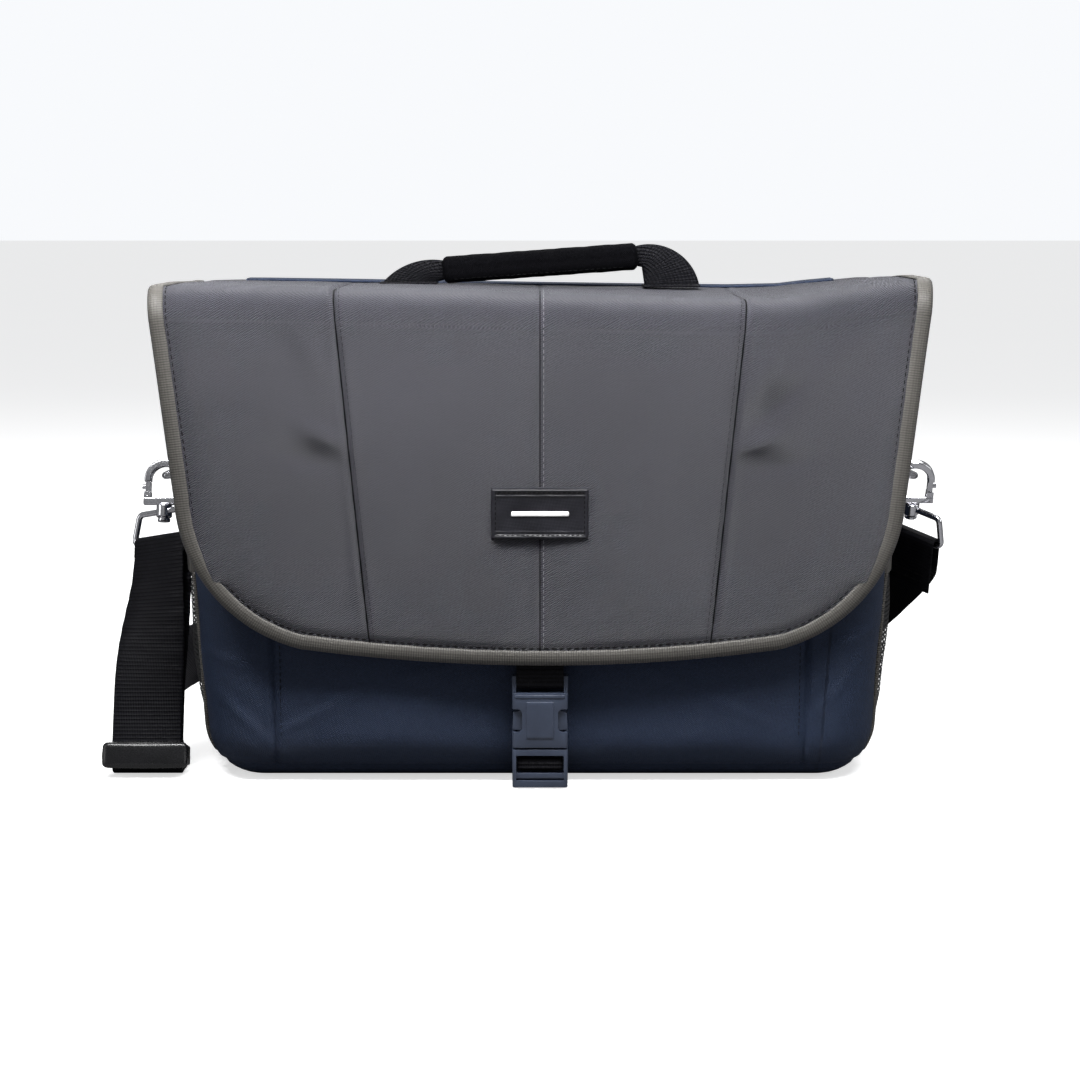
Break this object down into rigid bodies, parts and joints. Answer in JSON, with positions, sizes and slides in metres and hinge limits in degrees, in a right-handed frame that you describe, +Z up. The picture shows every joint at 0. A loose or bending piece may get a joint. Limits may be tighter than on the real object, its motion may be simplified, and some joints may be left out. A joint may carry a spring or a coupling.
{
  "type": "camera bag",
  "caption": "Padded shoulder bag for cameras with a bound flap, centre release buckle, grab handle, side mesh pockets and an adjustable strap on snap hooks.",
  "frame": {"origin": "on the floor under the middle of the bag's base", "axes": "+Z up, the front with the buckle faces -Y, +X on the right of someone who faces the front"},
  "size_m": [0.4968, 0.3226, 0.2875],
  "materials": {
    "nylon": "fine woven black nylon with a slight navy cast",
    "twill": "charcoal coated twill with a soft sheen",
    "foam": "closed-cell foam, hidden",
    "lining": "brushed grey lining",
    "grosgrain": "ribbed edge tape, dark olive grey",
    "webbing": "ribbed black webbing",
    "mesh": "open black elastic mesh",
    "patch": "black moulded rubber, satin",
    "mark": "plain pale bar",
    "plastic": "moulded slate-black acetal",
    "board": "stiff polyethylene sheet",
    "steel": "bright nickel-plated steel"
  },
  "bodies": {
    "shell": {"base_panel": "nylon", "front_panel": "nylon", "side_panel_left": "nylon", "side_panel_right": "nylon", "back_panel": "nylon", "front_corner_panels": "nylon", "front_foam": "foam", "back_foam": "foam", "side_foams": "foam", "base_board": "board", "base_foam": "foam", "lining": "lining", "rim_tape": "webbing", "organizer_divider": "lining", "laptop_divider": "lining", "lens_divider": "lining", "mesh_pocket_right": "mesh", "mesh_pocket_left": "mesh", "pocket_bands": "webbing", "flap_hinge_strip": "twill", "buckle_webbing": "webbing", "ring_tabs": "webbing", "eye_left": "steel", "eye_right": "steel", "strap_left_run": "webbing", "strap_adjuster": "webbing", "strap_rear_run": "webbing", "strap_right_end": "webbing"},
    "flap_lid": {"flap_top_cover": "twill", "flap_top_foam": "foam", "flap_top_lining": "lining", "flap_top_tape": "grosgrain", "flap_bend": "twill", "handle_feet": "webbing"},
    "flap_face": {"flap_front_cover": "twill", "flap_front_foam": "foam", "flap_front_lining": "lining", "flap_front_tape": "grosgrain", "flap_patch": "patch", "patch_emblem": "mark", "buckle_tab": "webbing", "buckle_female": "plastic"},
    "grab_handle": {"handle_webbing": "webbing", "handle_grip": "nylon"},
    "buckle_half": {"buckle_male": "plastic"},
    "arm_left": {"buckle_arm_left": "plastic"},
    "arm_right": {"buckle_arm_right": "plastic"},
    "ring_l": {"ring_left": "steel"},
    "ring_r": {"ring_right": "steel"},
    "hook_l": {"hook_left": "steel", "gate_pin_left": "steel"},
    "hook_r": {"hook_right": "steel", "gate_pin_right": "steel"},
    "gate_l": {"gate_left": "steel"},
    "gate_r": {"gate_right": "steel"},
    "slider": {"strap_slider": "plastic"},
    "pad": {"shoulder_pad": "nylon"},
    "cell_left": {"cell_divider_left": "lining"},
    "cell_right": {"cell_divider_right": "lining"}
  },
  "joints": [
    {"name": "flap_lift", "type": "hinge", "parent": "shell", "child": "flap_lid", "pos_m": [0, 0.0769, 0.2545], "axis": [-1, 0, 0], "range_deg": [0, 180], "deforming": ["flap_hinge_strip"]},
    {"name": "flap_fold", "type": "hinge", "parent": "flap_lid", "child": "flap_face", "pos_m": [0, -0.073, 0.2445], "axis": [-1, 0, 0], "range_deg": [0, 90], "deforming": ["flap_bend"]},
    {"name": "handle_tilt", "type": "hinge", "parent": "flap_lid", "child": "grab_handle", "pos_m": [0, 0.025, 0.266], "axis": [1, 0, 0], "range_deg": [-35, 35]},
    {"name": "buckle_tilt", "type": "hinge", "parent": "shell", "child": "buckle_half", "pos_m": [0, -0.0821, 0.014], "axis": [1, 0, 0], "range_deg": [0, 20], "deforming": ["buckle_webbing"]},
    {"name": "arm_left_press", "type": "hinge", "parent": "buckle_half", "child": "arm_left", "pos_m": [-0.0084, -0.0821, 0.0217], "axis": [0, 1, 0], "range_deg": [0, 8], "deforming": ["buckle_arm_left"]},
    {"name": "arm_right_press", "type": "hinge", "parent": "buckle_half", "child": "arm_right", "pos_m": [0.0084, -0.0821, 0.0217], "axis": [0, -1, 0], "range_deg": [0, 8], "deforming": ["buckle_arm_right"]},
    {"name": "ring_left_swing", "type": "hinge", "parent": "shell", "child": "ring_l", "pos_m": [-0.19429, 0, 0.1623], "axis": [0, 1, 0], "range_deg": [-11, 3]},
    {"name": "hook_left_swivel", "type": "hinge", "parent": "shell", "child": "hook_l", "pos_m": [-0.21022, -0.00581, 0.14205], "axis": [0, -0.342, -0.9397], "range_deg": [-30, 30]},
    {"name": "gate_left_open", "type": "hinge", "parent": "hook_l", "child": "gate_l", "pos_m": [-0.21972, -0.0039, 0.14732], "axis": [0, 0.9397, -0.342], "range_deg": [0, 25]},
    {"name": "ring_right_swing", "type": "hinge", "parent": "shell", "child": "ring_r", "pos_m": [0.19429, 0, 0.1623], "axis": [0, -1, 0], "range_deg": [-11, 3]},
    {"name": "hook_right_swivel", "type": "hinge", "parent": "shell", "child": "hook_r", "pos_m": [0.21022, 0.00581, 0.14205], "axis": [0, -0.342, 0.9397], "range_deg": [-30, 30]},
    {"name": "gate_right_open", "type": "hinge", "parent": "hook_r", "child": "gate_r", "pos_m": [0.21972, 0.0039, 0.14732], "axis": [0, -0.9397, -0.342], "range_deg": [0, 25]},
    {"name": "strap_adjust", "type": "slide", "parent": "shell", "child": "slider", "axis": [0, 0.342, 0.9397], "range_m": [0, 0.045], "deforming": ["strap_adjuster"]},
    {"name": "pad_slide", "type": "slide", "parent": "shell", "child": "pad", "axis": [1, 0, 0], "range_m": [-0.015, 0.015]},
    {"name": "cell_left_move", "type": "slide", "parent": "shell", "child": "cell_left", "axis": [1, 0, 0], "range_m": [0, 0.02]},
    {"name": "cell_right_move", "type": "slide", "parent": "shell", "child": "cell_right", "axis": [1, 0, 0], "range_m": [-0.02, 0.02]}
  ]
}
